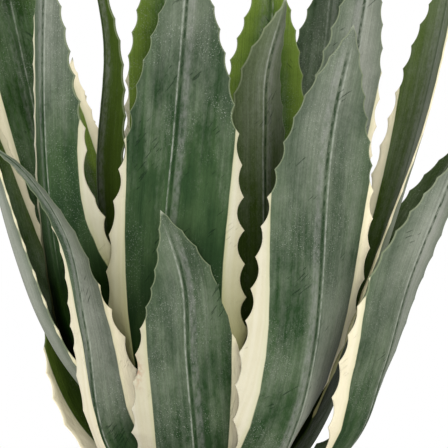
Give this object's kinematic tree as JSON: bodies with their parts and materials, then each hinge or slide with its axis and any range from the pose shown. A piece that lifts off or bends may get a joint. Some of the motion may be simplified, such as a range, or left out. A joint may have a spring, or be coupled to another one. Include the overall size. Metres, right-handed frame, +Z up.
{
  "type": "potted century plant",
  "caption": "Variegated agave rosette of tall folded leaves with scalloped cream margins, standing in a plain round clay pot filled with soil.",
  "frame": {"origin": "centre of the pot's foot, on the ground", "axes": "+Z up through the pot and the stem; the viewer of the picture stands at -Y, with +X to their right"},
  "size_m": [0.334, 0.2281, 0.576],
  "materials": {
    "terracotta": "matte unglazed fired clay",
    "soil": "loose potting soil",
    "stem": "satin plant tissue",
    "leaf": "satin leaf with a waxy grey bloom"
  },
  "bodies": {
    "root": {"pot": "terracotta", "soil": "soil", "stem": "stem", "leaf_01": "leaf", "leaf_02": "leaf", "leaf_03": "leaf", "leaf_04": "leaf", "leaf_05": "leaf", "leaf_06": "leaf", "leaf_07": "leaf", "leaf_08": "leaf", "leaf_09": "leaf", "leaf_10": "leaf", "leaf_11": "leaf", "leaf_12": "leaf", "leaf_13": "leaf", "leaf_14": "leaf", "leaf_15": "leaf", "leaf_16": "leaf", "leaf_17": "leaf", "leaf_18": "leaf", "leaf_19": "leaf", "leaf_20": "leaf", "leaf_21": "leaf"}
  },
  "joints": []
}
